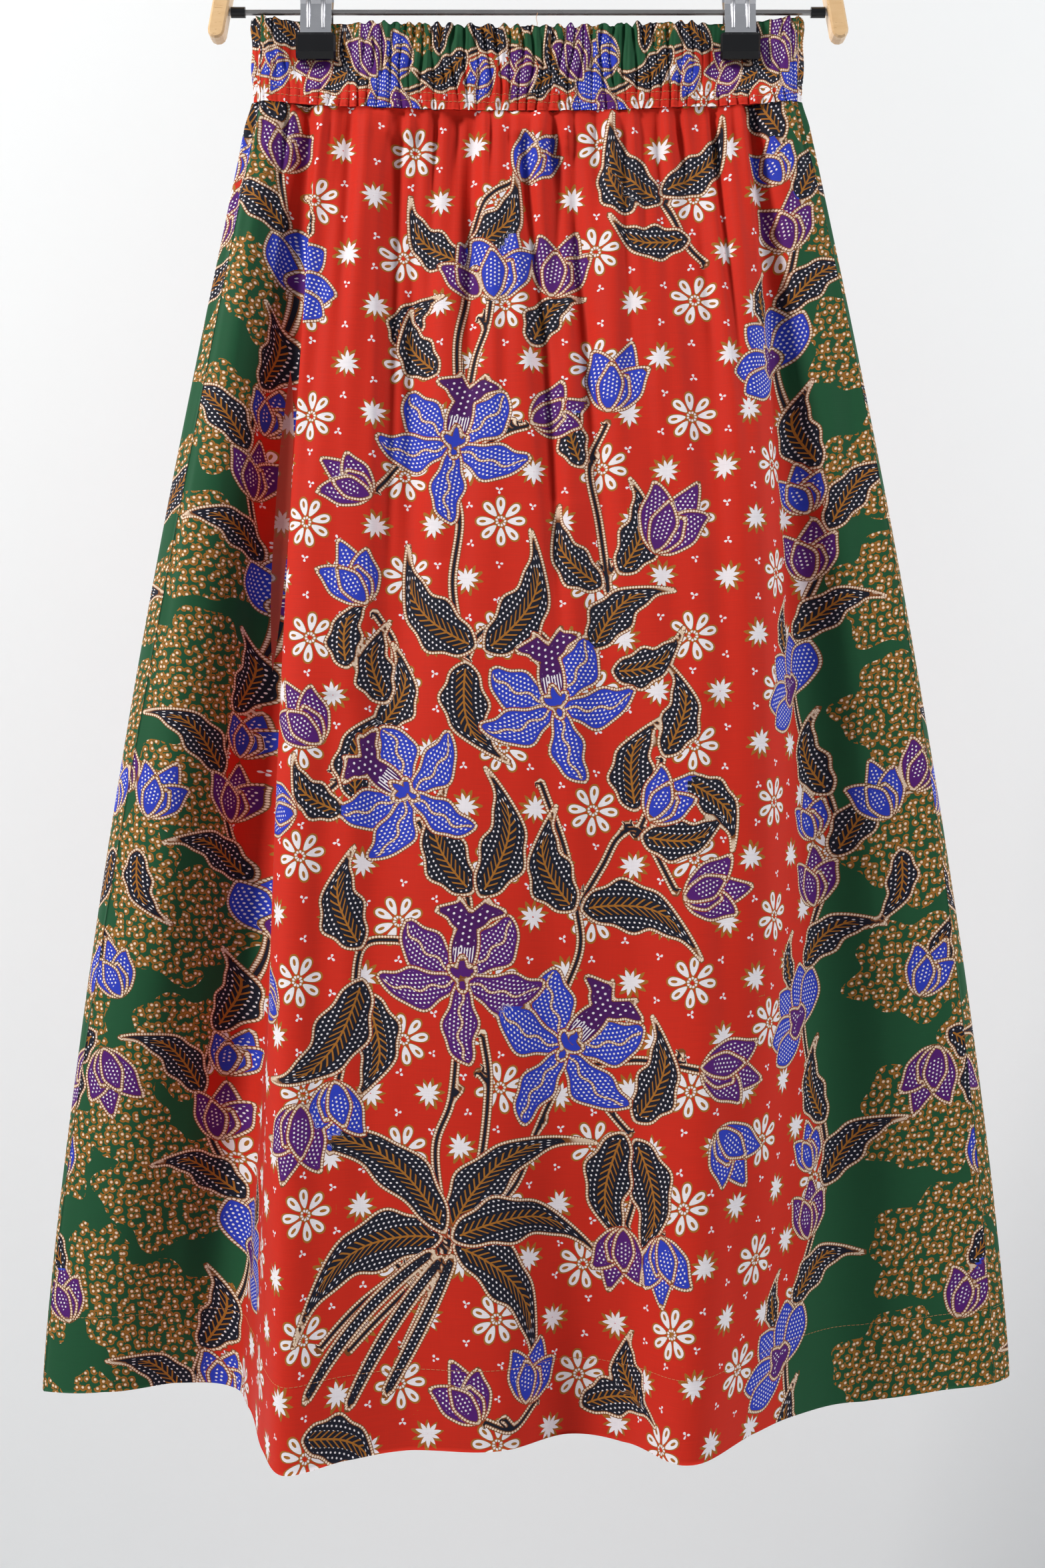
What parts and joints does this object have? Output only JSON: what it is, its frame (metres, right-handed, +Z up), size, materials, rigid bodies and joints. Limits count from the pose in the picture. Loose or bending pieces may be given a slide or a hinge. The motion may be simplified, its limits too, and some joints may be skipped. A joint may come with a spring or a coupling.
{
  "type": "batik maxi skirt on wooden clip hanger",
  "caption": "A-line maxi skirt with a gathered elastic waistband and a turned hem, hanging by two clips from a wooden hanger with a hook.",
  "frame": {"origin": "inside top of the hanger's hook, where it rests on a rail", "axes": "+Z up, -Y out of the front of the skirt, +X to the right seen from the front"},
  "size_m": [0.6247, 0.156, 1.0665],
  "materials": {
    "batik_cotton": "printed cotton, red ground with a green border, slight sheen",
    "batik_waistband": "printed cotton gathered over elastic",
    "pale_wood": "clear satin lacquer",
    "chrome_steel": "bright plated",
    "black_rubber": "smooth dipped rubber"
  },
  "bodies": {
    "root": {"front_panel": "batik_cotton", "back_panel": "batik_cotton", "waistband_front": "batik_waistband", "waistband_back": "batik_waistband", "hanger_wood": "pale_wood", "hanger_hook": "chrome_steel", "hanger_rod": "chrome_steel", "rod_collar_left": "black_rubber", "rod_collar_right": "black_rubber", "clip_spring_left": "chrome_steel", "clip_spring_right": "chrome_steel", "clip_plate_left_front": "chrome_steel", "clip_plate_left_back": "chrome_steel", "clip_plate_right_front": "chrome_steel", "clip_plate_right_back": "chrome_steel", "clip_jaw_left_front": "black_rubber", "clip_jaw_left_back": "black_rubber", "clip_jaw_right_front": "black_rubber", "clip_jaw_right_back": "black_rubber"}
  },
  "joints": []
}
